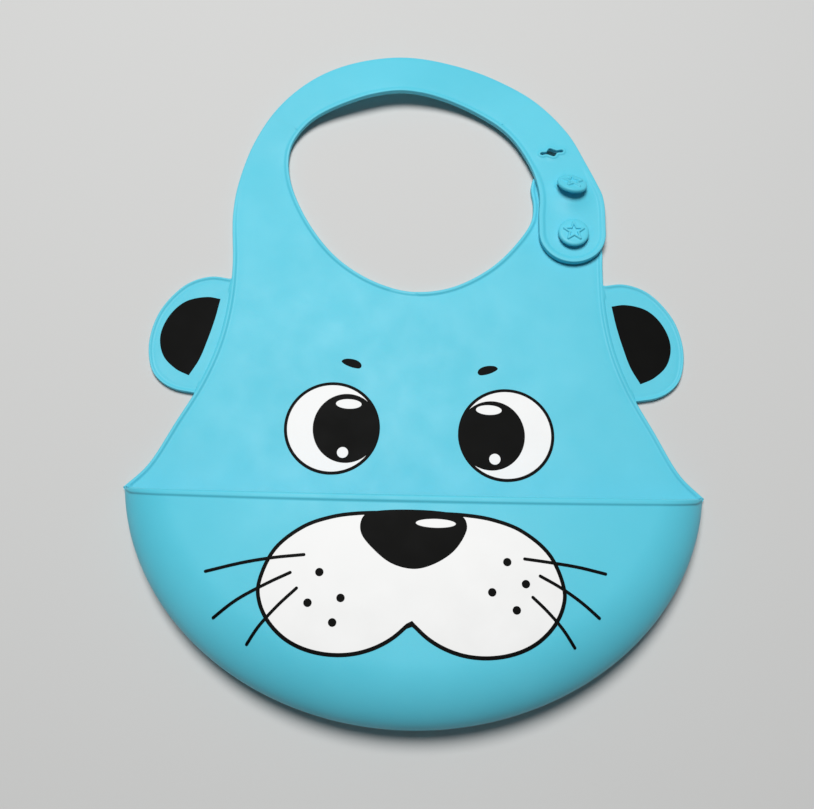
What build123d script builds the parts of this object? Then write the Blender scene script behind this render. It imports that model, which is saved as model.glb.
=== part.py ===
"""Silicone baby bib with a catch pocket, lying flat on its back, +Y towards the neck strap, +Z up.

Plan positions are given from the point midway between the two corners of the pocket's lip. The plane
`plan` has its origin there, so that the whole bib's bounding box is centred on the world origin and
rests on Z = 0.
"""

from build123d import *
from math import atan, cos, degrees, hypot, pi, radians, sin
import os

os.makedirs("parts", exist_ok=True)

# ---- driving dimensions, millimetres and degrees ------------------------------------------------
below_lip = 87.3          # lip corners to the round bottom of the pocket
above_lip = 198.9         # lip corners to the crown of the neck strap
sheet = 2.0               # flat silicone sheet
bead_width = 1.8
bead_height = 1.0         # the bead stands this far above the sheet
ink = 0.12                # one silk-screened layer of silicone ink
joint_gap = 0.4           # parting gap between two regions that fold against each other
fold_y = 1.0              # the chest folds up over the pocket along this line

# pocket
pocket_height = 26.0
pocket_wall = 1.8
pocket_tip = (113.8, 0.5)
pocket_flank = (78.9, -60)
pocket_top_radius = 14.0
pocket_keel_radius = 8.0  # rounds the back of the pocket towards its bottom
lip_y_at_sheet = 0.5
lip_lean = 16.7           # the mouth of the pocket leans back from vertical
lip_bead_width = 2.2
lip_bead_extra = 0.7      # the lip is this much thicker than the wall

# neck strap, closed over the tab on the right shoulder
neck_x = -3.5
neck_y = 134.0
root_angle = 150.0        # radial line where the strap bends up from the left shoulder
clasp_angle = 40.0        # radial line where the strap's buttoned end bends up
strap = 2.2               # thickness
crown_x = -15.0
crown_lift = 6.0          # the closed strap arches this far off the surface
clasp_lift = 3.4          # and lies this high on the tab
arch_start_x = -50.0
arch_end_x = 32.0
arch_reach = 100.0        # half width of the arch's side view, wider than the strap
strap_end_x = 65.05
strap_end_y = 113.2
strap_end_radius = 14.05
strap_rim_height = 0.7
strap_rim_reach = 138.0   # the rim runs round the strap's end up to this Y

# studs and slots
lower_stud_at = (65.4, 112.8)
upper_stud_at = (65.3, 134.6)
open_slot_at = (57.6, 153.9)
slot_turn = 10.0
slot_wing = 5.6
slot_width = 1.1
slot_diamond = 2.5        # half diagonal of the middle of an empty slot
slot_stretched = 3.1      # and of a slot that a stud holds open
slot_border = 0.9
slot_border_height = 0.5
stem_radius = 1.9
head_radius = 6.4
head = 1.9
lower_head_z = 6.4
upper_head_z = 8.6
upper_head_tilt = -20.0
upper_head_roll = -8.0
star_radius = 4.6
star_line = 0.9
star_height = 0.5
star_inner_ratio = 0.42
head_edge_radius = 0.75
stem_into_head = 0.6

# printed face
print_line = 1.1          # width of the drawn lines
eye_radius = 19.3
pupil_size = (13.4, 14.3) # half width and half height
upper_glint_size = (5.3, 2.1)
lower_glint_radius = 2.35
brow_half_width = 1.5
dot_radius = 1.5

lip_y = (below_lip - above_lip) / 2
plan = Plane((0, lip_y, 0))
big = 400.0               # larger than the bib, for cutting
overlap = 8.0             # outlines run this far past a cut
neck_reach = 66.0         # a circle that parts the neck's bead from the outer edges' beads


def mirrored(points):
    """The same points on the other side of the bib, in the same order."""
    return [(-x, y) for x, y in points]


def inset(points, distance):
    """The points of an open curve moved to its left-hand side by `distance`."""
    moved = []
    last = len(points) - 1
    for index, (x, y) in enumerate(points):
        before = points[max(index - 1, 0)]
        after = points[min(index + 1, last)]
        run = hypot(after[0] - before[0], after[1] - before[1])
        left_x = -(after[1] - before[1]) / run
        left_y = (after[0] - before[0]) / run
        moved.append((x + distance * left_x, y + distance * left_y))
    return moved


# ---- outlines, drawn for the right side and counterclockwise ------------------------------------
corner = (114.4, 0.6)
side = [corner, (105.7, 10), (96.2, 28), (87.6, 45), (81.8, 62), (78.9, 80), (78.5, 98)]
left_shoulder = [(-80.4, 122), (-79.3, 138), (-74, 158), (-63.8, 175.2)]
outer_stub = (-52, 185)   # the shoulder's outline runs on past the strap's bending line
inner_stub = (-40, 172.5)
neck_left = [(-54.2, 162.8), (-58, 150), (-56, 137), (-47, 118), (-34, 102)]
neck_low = [(-18, 91.5), (-2, 87.2), (14, 89.3), (30, 98), (41, 109), (48.3, 121)]
tab_edge = [(49.8, 128), (48.8, 136.5), (50.6, 143), (58, 147), (66, 145.3), (73, 138), (77, 127)]
tab_edge += [(78.6, 113)]
ear_top = (78.5, 91.5)
ear_bottom = (90.3, 40.5)
ear_web = (65, 66)        # the sheet fills the shallow waist of the side edge behind the ear
ear_edge = [ear_top, (87, 92.4), (96, 89.4), (103.2, 82.6), (108.3, 73.6), (110.4, 61)]
ear_edge += [(108, 50), (103.7, 45), (98, 42), ear_bottom]
ear_patch_outer = [(81.6, 82.4), (87.2, 83.2), (96, 81), (102, 74.8), (104.9, 65.6), (103, 57)]
ear_patch_outer += [(97.5, 51.0), (91.9, 48.3)]
ear_patch_inner = [(91.9, 48.3), (85.5, 64), (81.6, 82.4)]
strap_outer = [*left_shoulder, (-48.5, 188), (-28.5, 195.9), (-8.9, 198.9), (10.8, 197.2)]
strap_outer += [(30.6, 192), (50.5, 181.3), (65.3, 164.1), (72.3, 148.7), (78.0, 133.6), (79.5, 123)]
strap_inner = [(51.0, 122), (51.6, 132.9), (48.2, 147.0), (37.5, 163.2), (17.7, 175.4), (-7.9, 180.3)]
strap_inner += [(-30.5, 175.0), (-48.6, 167.2), (-56.2, 158), (-58, 150), (-56, 137)]

left_eye = (-33.1, 27.0)
right_eye = (36.9, 25.5)
muzzle_edge = [(0, -10.3), (24, -10.9), (39, -15), (49.5, -23.5), (54.6, -37), (52, -49), (42, -58)]
muzzle_edge += [(26, -62), (11, -59.3)]
muzzle_cusp = (0.4, -51)
nose_edge = [(-17.5, -11), (-19, -17), (-13.5, -25.5), (1, -31.2), (14.5, -25.5), (20, -16), (17.5, -11)]
nose_glint_at = (7.9, -14.9)
nose_glint_size = (7.2, 1.6)
left_whiskers = [
    [(-39.0, -27.3), (-58.5, -29.3), (-74.7, -33.4)],
    [(-43.5, -33.8), (-57.5, -40.6), (-70.8, -50.0)],
    [(-41.0, -39.3), (-51.0, -49.0), (-58.1, -59.0)],
]
right_whiskers = [
    [(40.5, -27.2), (57.0, -28.9), (70.0, -31.7)],
    [(46.0, -33.2), (57.0, -39.6), (67.0, -47.3)],
    [(43.3, -40.8), (51.5, -48.6), (58.0, -57.6)],
]
left_dots = [(-33.3, -33.4), (-25.3, -42.4), (-37.0, -44.3), (-27.9, -51.0)]
right_dots = [(34.2, -28.4), (40.8, -36.1), (28.7, -39.3), (37.4, -45.4)]


# ---- helpers ------------------------------------------------------------------------------------
def radial_line(angle, shift=0.0):
    """Location on the radial line through the neck's middle, moved counterclockwise by shift."""
    turn = radians(angle)
    return Location((neck_x - shift * sin(turn), neck_y + shift * cos(turn)), angle)


def keep_counterclockwise(angle, shift):
    """Keep what lies counterclockwise of a radial line."""
    with Locations(radial_line(angle, shift)):
        Rectangle(2 * big, big, align=(Align.CENTER, Align.MIN), mode=Mode.INTERSECT)


def keep_clockwise(angle, shift):
    """Keep what lies clockwise of a radial line."""
    with Locations(radial_line(angle, shift)):
        Rectangle(2 * big, big, align=(Align.CENTER, Align.MAX), mode=Mode.INTERSECT)


def keep_above_fold():
    """Keep what lies on the chest's side of the fold."""
    with Locations((0, fold_y + joint_gap / 2)):
        Rectangle(big, big, align=(Align.CENTER, Align.MIN), mode=Mode.INTERSECT)


def cut_strap_root():
    """Remove the stub beyond the strap's bending line on the left shoulder."""
    with Locations(radial_line(root_angle, joint_gap / 2)):
        Rectangle(big / 2, big / 8, align=(Align.MIN, Align.MAX), mode=Mode.SUBTRACT)


def finish(block, name):
    """Label a finished piece and write it."""
    block.part.label = name
    export_step(block.part, f"parts/{name}.step")


# ---- body outline: chest, shoulders and tab in one closed curve ---------------------------------
def body_sketch(margin):
    """Face of the flat body without its ears, drawn `margin` inside its edge."""
    left_points = inset([*mirrored(side), *left_shoulder, outer_stub], -margin)
    right_points = [*neck_left, *neck_low, *tab_edge, *reversed(side)]
    right_points = inset([inner_stub, *right_points], -margin)
    with BuildSketch() as outline:
        with BuildLine():
            left_edge = Spline(*left_points)
            stub = Line(left_edge @ 1, right_points[0])
            right_edge = Spline(*right_points)
            Polyline(right_edge @ 1, (corner[0], -overlap), (-corner[0], -overlap), left_edge @ 0)
        make_face()
    return outline.sketch


body = body_sketch(0)
body_inset = body_sketch(bead_width)

with BuildPart() as chest_panel:
    with BuildSketch(plan):
        add(body)
        Polygon(ear_top, ear_web, ear_bottom, align=None)
        Polygon(*mirrored([ear_top, ear_web, ear_bottom]), align=None)
        keep_counterclockwise(root_angle, joint_gap / 2)
        keep_above_fold()
    extrude(amount=sheet)
finish(chest_panel, "chest_panel")

with BuildPart() as stud_tab:
    with BuildSketch(plan):
        add(body)
        keep_clockwise(root_angle, joint_gap / 2)
        with Locations((strap_inner[-1][0] / 2, neck_y)):
            Rectangle(big, big, align=(Align.MIN, Align.CENTER), mode=Mode.INTERSECT)
    extrude(amount=sheet)
finish(stud_tab, "stud_tab")

with BuildPart() as neck_bead:
    with BuildSketch(plan.offset(sheet)):
        add(body)
        add(body_inset, mode=Mode.SUBTRACT)
        cut_strap_root()
        with Locations((neck_x, neck_y)):
            Circle(neck_reach, mode=Mode.INTERSECT)
    extrude(amount=bead_height)
finish(neck_bead, "neck_bead")

for name, towards in (("left_edge_bead", Align.MAX), ("right_edge_bead", Align.MIN)):
    with BuildPart() as edge_bead:
        with BuildSketch(plan.offset(sheet)):
            add(body)
            add(body_inset, mode=Mode.SUBTRACT)
            cut_strap_root()
            with Locations((neck_x, neck_y)):
                Circle(neck_reach, mode=Mode.SUBTRACT)
            with Locations((0, fold_y + joint_gap / 2)):
                Rectangle(big, big, align=(towards, Align.MIN), mode=Mode.INTERSECT)
        extrude(amount=bead_height)
    finish(edge_bead, name)


# ---- ears ---------------------------------------------------------------------------------------
ear_chord = hypot(ear_bottom[0] - ear_top[0], ear_bottom[1] - ear_top[1])
ear_out = ((ear_top[1] - ear_bottom[1]) / ear_chord, (ear_bottom[0] - ear_top[0]) / ear_chord)
ear_root_middle = (
    (ear_top[0] + ear_bottom[0]) / 2 + ear_out[0] * joint_gap,
    (ear_top[1] + ear_bottom[1]) / 2 + ear_out[1] * joint_gap,
)


def ear_sketch(margin):
    """Face of the right ear, drawn `margin` inside its round edge."""
    with BuildSketch() as outline:
        with BuildLine():
            rim = Spline(*inset(ear_edge, -margin))
            Line(rim @ 1, rim @ 0)
        make_face()
    return outline.sketch


with BuildSketch() as beyond_gap:
    with Locations(Location(ear_root_middle, degrees(atan(ear_out[1] / ear_out[0])))):
        Rectangle(big, big, align=(Align.MIN, Align.CENTER))

with BuildSketch() as ear:
    add(ear_sketch(0))

with BuildSketch() as ear_rim_band:
    add(ear_sketch(0))
    add(ear_sketch(bead_width), mode=Mode.SUBTRACT)

with BuildSketch() as ear_patch:
    with BuildLine():
        bow = Spline(*ear_patch_outer)
        Spline(*ear_patch_inner)
    make_face()

for side_name in ("left", "right"):
    for piece_name, outline, low, thickness in (
        ("ear_flap", ear, 0, sheet),
        ("ear_rim", ear_rim_band, sheet, bead_height),
        ("ear_patch", ear_patch, sheet, ink),
    ):
        with BuildPart() as ear_piece:
            with BuildSketch(plan.offset(low)):
                add(outline.sketch)
                add(beyond_gap.sketch, mode=Mode.INTERSECT)
                if side_name == "left":
                    mirror(about=Plane.YZ, mode=Mode.REPLACE)
            extrude(amount=thickness)
        finish(ear_piece, f"{side_name}_{piece_name}")


# ---- neck strap ---------------------------------------------------------------------------------
def strap_sketch(margin):
    """Face of the neck strap from the left shoulder to its round end, `margin` inside its edge."""
    radius = strap_end_radius - margin
    with BuildSketch() as outline:
        with BuildLine():
            outer = Spline(*inset(strap_outer, -margin), (strap_end_x + radius, strap_end_y))
            round_end = ThreePointArc(
                outer @ 1,
                (strap_end_x, strap_end_y - radius),
                (strap_end_x - radius, strap_end_y),
            )
            inner = Spline(round_end @ 1, *inset(strap_inner, -margin))
            Line(inner @ 1, outer @ 0)
        make_face()
    return outline.sketch


strap_face = strap_sketch(0)

with BuildSketch() as slot:
    with Locations((-slot_wing / 2, -slot_width / 2), (slot_wing / 2, slot_width / 2)):
        SlotOverall(slot_wing + slot_width, slot_width)

with BuildPart() as strap_arch:
    with BuildSketch(plan):
        add(strap_face)
        keep_clockwise(root_angle, -joint_gap / 2)
        keep_counterclockwise(clasp_angle, joint_gap / 2)
    extrude(amount=crown_lift + 2 * strap)
    with BuildSketch(Plane.XZ.offset(-above_lip)):
        with BuildLine():
            for rise in (0, strap):
                flat_left = Line((-arch_reach, rise), (arch_start_x, rise))
                wave = Spline(
                    flat_left @ 1,
                    (crown_x, crown_lift + rise),
                    (arch_end_x, clasp_lift + rise),
                    tangents=[(1, 0), (1, 0)],
                )
                flat_right = Line(wave @ 1, (arch_reach, clasp_lift + rise))
            Line((-arch_reach, 0), (-arch_reach, strap))
            Line((arch_reach, clasp_lift), (arch_reach, clasp_lift + strap))
        make_face()
    extrude(amount=above_lip, mode=Mode.INTERSECT)
finish(strap_arch, "strap_arch")

with BuildPart() as strap_end:
    with BuildSketch(plan.offset(clasp_lift)):
        add(strap_face)
        keep_clockwise(clasp_angle, -joint_gap / 2)
    extrude(amount=strap)
    for centre, diamond in (
        (lower_stud_at, slot_stretched),
        (upper_stud_at, slot_stretched),
        (open_slot_at, slot_diamond),
    ):
        turned = Location(centre, slot_turn)
        with BuildSketch(plan.offset(clasp_lift + strap)):
            with Locations(turned):
                add(slot.sketch)
            with Locations(Location(centre, slot_turn + 45)):
                Rectangle(diamond * 2**0.5, diamond * 2**0.5)
            offset(amount=slot_border)
        extrude(amount=slot_border_height)
        with BuildSketch(plan.offset(clasp_lift)):
            with Locations(turned):
                add(slot.sketch)
            with Locations(Location(centre, slot_turn + 45)):
                Rectangle(diamond * 2**0.5, diamond * 2**0.5)
        extrude(amount=strap + slot_border_height, mode=Mode.SUBTRACT)
finish(strap_end, "strap_end")

with BuildPart() as strap_end_rim:
    with BuildSketch(plan.offset(clasp_lift + strap)):
        add(strap_face)
        add(strap_sketch(bead_width), mode=Mode.SUBTRACT)
        with Locations((strap_end_x, strap_rim_reach)):
            Rectangle(4 * strap_end_radius, big, align=(Align.CENTER, Align.MAX), mode=Mode.INTERSECT)
    extrude(amount=strap_rim_height)
finish(strap_end_rim, "strap_end_rim")


# ---- studs --------------------------------------------------------------------------------------
def star_points(radius):
    """Corners of a five-pointed star with one point towards +Y."""
    points = []
    for step in range(10):
        reach = radius if step % 2 == 0 else radius * star_inner_ratio
        turn = pi / 2 + step * pi / 5
        points.append((reach * cos(turn), reach * sin(turn)))
    return points


for name, centre, head_z, tilt, roll in (
    ("lower_stud", lower_stud_at, lower_head_z, 0.0, 0.0),
    ("upper_stud", upper_stud_at, upper_head_z, upper_head_tilt, upper_head_roll),
):
    seat = Plane((centre[0], centre[1] + lip_y, head_z)).rotated((tilt, roll, 0))
    with BuildPart() as stud:
        with BuildSketch(seat):
            Circle(head_radius)
        extrude(amount=head)
        fillet(stud.edges().group_by(Axis(seat.origin, seat.z_dir))[-1], head_edge_radius)
        with BuildSketch(plan.offset(sheet)):
            with Locations(centre):
                Circle(stem_radius)
        extrude(amount=head_z - sheet + stem_into_head)
        with BuildSketch(seat.offset(head)):
            Polygon(*star_points(star_radius), align=None)
            Polygon(*star_points(star_radius - 2 * star_line), align=None, mode=Mode.SUBTRACT)
        extrude(amount=star_height)
    finish(stud, name)


# ---- pocket -------------------------------------------------------------------------------------
def pouch(margin):
    """Closed form of the pocket, drawn `margin` inside its outer skin and open-ended past the lip."""
    keel_lean = degrees(atan(pocket_keel_radius / (below_lip + lip_y_at_sheet)))
    top = pocket_height - margin
    with BuildPart() as form:
        with BuildSketch(plan.offset(-2 * pocket_keel_radius)):
            with BuildLine():
                belly = ThreePointArc(*mirrored([pocket_flank]), (0, -below_lip), pocket_flank)
                flank = TangentArc(belly @ 1, pocket_tip, tangent=belly % 1)
                throat = Line(flank @ 1, (pocket_tip[0], overlap))
                mirror(flank, about=Plane.YZ)
                mirror(throat, about=Plane.YZ)
                Line((-pocket_tip[0], overlap), throat @ 1)
            make_face()
            offset(amount=-margin)
        extrude(amount=top + 2 * pocket_keel_radius)
        keel = Plane((0, lip_y - below_lip, margin)).rotated((-keel_lean, 0, 0))
        split(bisect_by=keel, keep=Keep.TOP)
        top_edges = form.faces().sort_by(Axis.Z)[-1].edges().sort_by(Axis.Y)[:-1]
        fillet(top_edges, pocket_top_radius - margin)
        keel_edges = form.faces().sort_by(Axis.Z)[0].edges().sort_by(Axis.Y)[:-1]
        fillet(keel_edges, pocket_keel_radius - margin)
        split(bisect_by=Plane.XY, keep=Keep.TOP)
    return form.part


lean = radians(lip_lean)
mouth = Plane((0, lip_y + lip_y_at_sheet, sheet), x_dir=(1, 0, 0), z_dir=(0, cos(lean), sin(lean)))
below_mouth = mouth.offset(-lip_bead_width)
outside = pouch(0)
hollow = pouch(pocket_wall)

with BuildPart() as back_panel:
    add(outside)
    split(bisect_by=Plane.XY.offset(sheet), keep=Keep.BOTTOM)
    split(bisect_by=Plane.XZ.offset(-lip_y - lip_y_at_sheet), keep=Keep.TOP)
finish(back_panel, "back_panel")

with BuildPart() as catch_pocket:
    add(outside)
    add(hollow, mode=Mode.SUBTRACT)
    split(bisect_by=Plane.XY.offset(sheet), keep=Keep.TOP)
    split(bisect_by=below_mouth, keep=Keep.BOTTOM)
finish(catch_pocket, "catch_pocket")

with BuildPart() as lip_bead:
    add(outside)
    add(pouch(pocket_wall + lip_bead_extra), mode=Mode.SUBTRACT)
    split(bisect_by=Plane.XY.offset(sheet), keep=Keep.TOP)
    split(bisect_by=mouth, keep=Keep.BOTTOM)
    split(bisect_by=below_mouth, keep=Keep.TOP)
finish(lip_bead, "lip_bead")


# ---- printed face on the pocket -----------------------------------------------------------------
def muzzle_sketch(margin):
    """Face of the muzzle, two round cheeks meeting in a cusp, drawn `margin` inside its line."""
    cusp = (muzzle_cusp[0], muzzle_cusp[1] + margin * 1.3)
    brow_point, *rest = inset(muzzle_edge, -margin)
    cheek = [(0, brow_point[1]), *rest]
    with BuildSketch() as outline:
        with BuildLine():
            Spline(*cheek, cusp, tangents=[(1, 0), (-0.75, 0.66)])
            Spline(*mirrored(cheek), cusp, tangents=[(-1, 0), (0.75, 0.66)])
        make_face()
    return outline.sketch


def printed(name, outline, layer):
    """Print one outline on the front of the pocket in the given layer of ink."""
    with BuildPart() as print_part:
        with BuildSketch(plan.offset(pocket_height + layer * ink)):
            add(outline)
        extrude(amount=ink)
    finish(print_part, name)


with BuildSketch() as muzzle_line:
    add(muzzle_sketch(-print_line / 2))
    add(muzzle_sketch(print_line / 2), mode=Mode.SUBTRACT)

with BuildSketch() as nose_shape:
    with BuildLine():
        nose_curve = Spline(*nose_edge)
        Line(nose_curve @ 1, nose_curve @ 0)
    make_face()

with BuildSketch() as nose_glint_shape:
    with Locations(nose_glint_at):
        Ellipse(*nose_glint_size)

printed("muzzle_white", muzzle_sketch(print_line / 2), 0)
printed("muzzle_outline", muzzle_line.sketch, 0)
printed("nose", nose_shape.sketch, 1)
printed("nose_glint", nose_glint_shape.sketch, 2)

for name, strokes in (("left_whiskers", left_whiskers), ("right_whiskers", right_whiskers)):
    with BuildSketch() as whisker_shape:
        for root, middle, tip in strokes:
            SlotArc(Edge.make_three_point_arc(root, middle, tip), print_line)
    printed(name, whisker_shape.sketch, 1)

for name, centres in (("left_muzzle_dots", left_dots), ("right_muzzle_dots", right_dots)):
    with BuildSketch() as dots_shape:
        with Locations(*centres):
            Circle(dot_radius)
    printed(name, dots_shape.sketch, 1)


# ---- printed eyes and brows on the flat chest ----------------------------------------------------
for side_name, centre, pupil, upper_glint, lower_glint, brow in (
    ("left", left_eye, (-27.3, 27.3), (-26.8, 37.3), (-28.6, 17.2), [(-30.6, 56.5), (-22.4, 53)]),
    ("right", right_eye, (31.0, 25.4), (30.0, 35.7), (32.3, 15.3), [(33.8, 54.5), (25.8, 51.3)]),
):
    with BuildPart() as eye_white:
        with BuildSketch(plan.offset(sheet)):
            with Locations(centre):
                Circle(eye_radius)
        extrude(amount=ink)
    finish(eye_white, f"{side_name}_eye_white")

    with BuildPart() as eye_outline:
        with BuildSketch(plan.offset(sheet + ink)):
            with Locations(centre):
                Circle(eye_radius)
                Circle(eye_radius - print_line, mode=Mode.SUBTRACT)
        extrude(amount=ink)
    finish(eye_outline, f"{side_name}_eye_outline")

    with BuildPart() as eye_pupil:
        with BuildSketch(plan.offset(sheet + ink)):
            with Locations(pupil):
                Ellipse(*pupil_size)
            with Locations(centre):
                Circle(eye_radius - print_line, mode=Mode.INTERSECT)
        extrude(amount=ink)
    finish(eye_pupil, f"{side_name}_pupil")

    with BuildPart() as eye_glints:
        with BuildSketch(plan.offset(sheet + 2 * ink)):
            with Locations(upper_glint):
                Ellipse(*upper_glint_size)
            with Locations(lower_glint):
                Circle(lower_glint_radius)
        extrude(amount=ink)
    finish(eye_glints, f"{side_name}_eye_glints")

    with BuildPart() as eye_brow:
        with BuildSketch(plan.offset(sheet)):
            (x0, y0), (x1, y1) = brow
            tilt = degrees(atan((y1 - y0) / (x1 - x0)))
            with Locations(Location(((x0 + x1) / 2, (y0 + y1) / 2), tilt)):
                Ellipse(hypot(x1 - x0, y1 - y0) / 2, brow_half_width)
        extrude(amount=ink)
    finish(eye_brow, f"{side_name}_brow")
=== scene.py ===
"""Looks of the silicone baby bib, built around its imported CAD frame."""

import math

import bmesh
import bpy
import numpy as np
from mathutils import Matrix, Vector, geometry


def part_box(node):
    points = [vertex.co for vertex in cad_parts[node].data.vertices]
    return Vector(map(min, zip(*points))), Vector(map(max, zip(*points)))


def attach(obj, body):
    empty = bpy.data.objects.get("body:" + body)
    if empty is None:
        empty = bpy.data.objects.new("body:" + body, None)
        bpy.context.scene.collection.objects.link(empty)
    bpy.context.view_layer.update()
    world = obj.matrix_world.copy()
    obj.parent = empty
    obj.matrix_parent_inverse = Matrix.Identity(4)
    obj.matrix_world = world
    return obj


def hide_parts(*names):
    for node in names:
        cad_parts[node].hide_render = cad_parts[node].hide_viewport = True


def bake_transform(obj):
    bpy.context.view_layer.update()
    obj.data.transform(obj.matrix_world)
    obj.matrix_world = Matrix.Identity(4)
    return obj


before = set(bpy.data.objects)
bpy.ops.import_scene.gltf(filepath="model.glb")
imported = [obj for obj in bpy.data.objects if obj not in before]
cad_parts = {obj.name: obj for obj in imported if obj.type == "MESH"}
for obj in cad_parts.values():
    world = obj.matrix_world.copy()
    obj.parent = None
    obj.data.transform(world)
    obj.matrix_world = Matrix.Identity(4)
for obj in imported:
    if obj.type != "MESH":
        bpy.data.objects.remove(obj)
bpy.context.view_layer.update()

# ---- sizes in millimetres; plan coordinates start midway between the corners of the pocket's lip --
MM = 0.001
LIP_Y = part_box("back_panel")[1][1] / MM - 0.5
LIP_AT_SHEET = 1.3
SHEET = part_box("chest_panel")[1][2] / MM
FOLD = 1.0
EDGE_ROUND = 0.5
BEAD_HEIGHT = 0.5
BEAD_WIDTH = 1.5
SAMPLE = 1.0
GROOVE = 0.07
EDGE_CLEARANCE = 1.6
# Edge of the sheet, from below to above: share of EDGE_ROUND inwards, whether the height is taken
# from the top (1) or the bottom (0), and the distance from there.
EDGE_PROFILE = [(0.8, 0, 0.0), (0.3, 0, 0.12), (0.0, 0, 0.55), (0.0, 1, 0.6), (0.12, 1, 0.22)]
EDGE_PROFILE += [(0.5, 1, 0.03), (1, 1, 0)]

NECK = (-3.5, 134.0)
ROOT_ANGLE = 150.0
CLASP_ANGLE = 40.0
STRAP = 2.2
CLASP_LIFT = 2.7
CROWN_LIFT = 7.0
# Turns round the neck, clockwise, over which the strap rises to its crown and falls to its clasp.
LIFT_RISE = (-172, -112)
LIFT_FALL = (-100, -46)
STRAP_END = (65.8, 114.6)
STRAP_END_RADII = (14.2, 13.8)
STRAP_RIM = 0.55
SLOT_RIM = 0.45

LOWER_STUD = (65.9, 113.7)
UPPER_STUD = (65.7, 137.2)
UPPER_SLOT = (65.5, 137.7)
STRAP_HUMP = (65.7, 132.5)
HUMP_RISE = 2.0
HUMP_SPREAD = 6.0
OPEN_SLOT = (57.9, 153.6)
SLOT_TURN = 10.0
HEAD_RADIUS = 6.5
HEAD = 2.1
STEM_RADIUS = 1.85
STAR_RADIUS = 4.35
STAR_RATIO = 0.42
STAR_RISE = 0.75
# Stud head's outline: radius, and height above its underside.
HEAD_PROFILE = [(1.9, -1.6), (1.9, -0.5), (2.2, -0.1), (3.0, 0.0), (5.6, 0.02), (6.15, 0.18), (6.45, 0.6)]
HEAD_PROFILE += [(HEAD_RADIUS, 1.1), (6.42, 1.55), (6.15, 1.88), (5.65, 2.05), (5.1, HEAD)]

# The pocket's rim is part of an ellipse with these half axes and this centre.
POCKET_HALF_WIDTH = 113.7
POCKET_LENGTH = 99.3
POCKET_CENTRE = 12.0
# The skin rises from the rim to its top over a rounded band, tighter and lower towards the sides.
POCKET_TOP = 25.0
POCKET_ROUND = 24.0
POCKET_REACH = 104.0
SIDE_TIGHTER = 8.0
SIDE_LOWER = 7.0
BELLY = 1.2
POCKET_WALL = 1.8
# Height of the rim's widest line, the mouth's lean per height, and the tuck under the rim per height.
RIM_AT_LIP = 2.6
RIM_AT_BOTTOM = 10.0
MOUTH_SLOPE = 0.29
KEEL_TUCK = 1.1
LIP_BEAD = 0.6
LIP_BEAD_WIDTH = 1.7

INK = 0.1
INK_SINK = 0.12
INK_BEVEL = (0.07, 0.06)
# Heights of the prints, in layers of ink.
WHITE_LAYER = 0
BROW_LAYER = 0
EAR_LAYER = 0.5
LINE_LAYER = 1
DOT_LAYER = 1.2
SOLID_LAYER = 1.3
WHISKER_LAYER = 2
SHINE_LAYER = 2.4
# Widths of the drawn lines.
LINE = 1.25
WHISKER = 1.12
MUZZLE_LINE = 1.4
POCKET_PRINT_SHIFT = (0.2, -0.3)
EYE = 19.3

FLOOR_REACH = 3000.0
FLOOR_DROP = 0.06
FLOOR_COLOUR = (0.63, 0.63, 0.62, 1)
LENS = 41.9263

BELOW_LIP = -(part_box("catch_pocket")[0][1] / MM - LIP_Y)

corner = (114.4, 0.9)
side = [corner, (105.7, 10), (96.2, 28), (87.6, 45), (81.8, 62), (78.9, 80), (78.5, 98)]
left_shoulder = [(-80.2, 122), (-78.8, 138), (-73.3, 157.6), (-63.1, 174.6)]
tab_edge = [(78.8, 108), (78.4, 118), (76.6, 128), (73, 138), (66, 145.3), (58, 147), (50.9, 143.4)]
tab_edge += [(48.8, 137.5), (49.7, 129)]
neck_low = [(48.6, 121), (41, 109), (30, 98), (14, 89.3), (-2, 87.2), (-18, 91.5)]
neck_left = [(-34, 102), (-46.8, 118), (-55.7, 137)]
ear_top = (78.5, 91.5)
ear_bottom = (90.3, 40.5)
ear_edge = [ear_top, (87, 92.4), (96, 89.4), (103.2, 82.6), (108.3, 73.6), (110.4, 61)]
ear_edge += [(108, 50), (103.7, 45), (98, 42), ear_bottom]
strap_outer = [(-47.9, 187.5), (-28.5, 195.5), (-8.9, 198.6), (10.8, 197.0), (30.6, 191.6)]
strap_outer += [(49.8, 180.6), (65.0, 163.9), (72.6, 149.0), (77.6, 137.2), (79.1, 133.4), (80.0, 128)]
strap_outer += [(80.1, 121)]
strap_inner = [(-57.6, 150), (-55.6, 158.3), (-48.0, 167.6), (-30.5, 175.8), (-7.9, 180.9), (17.7, 175.9)]
strap_inner += [(37.5, 163.5), (48.2, 147.0), (52.0, 133.2), (51.6, 122)]

PATCH_OUTER = [(81.6, 82.4), (87.2, 83.2), (96, 81), (102.2, 74.6), (105.2, 65.4), (103.2, 56.8)]
PATCH_OUTER += [(97.5, 51.0), (91.9, 48.3)]
PATCH_INNER = [(91.9, 48.3), (88.2, 55.3), (85.5, 64), (83.2, 73.3), (81.6, 82.4)]
PATCH_SHIFT = {"left": -0.8, "right": 0.0}
MUZZLE = [(0, -11.4), (20, -12.0), (30, -13.6), (40, -17.4), (50, -26), (54.8, -38.5), (54.2, -44.2)]
MUZZLE += [(51.2, -50.4), (46.3, -55.7), (40.8, -59.2), (34, -61.5), (26.3, -62.4), (18.8, -61.7)]
MUZZLE += [(12, -59.5), (6.2, -56.2), (0.5, -51.2)]
NOSE = [(-16.5, -11.8), (-18.8, -14.7), (-18.6, -19.3), (-13.5, -25.5), (-7, -30.2), (1, -31.9), (8, -30)]
NOSE += [(15, -25.3), (19, -19.4), (19.9, -15.8), (18, -12.3)]
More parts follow.
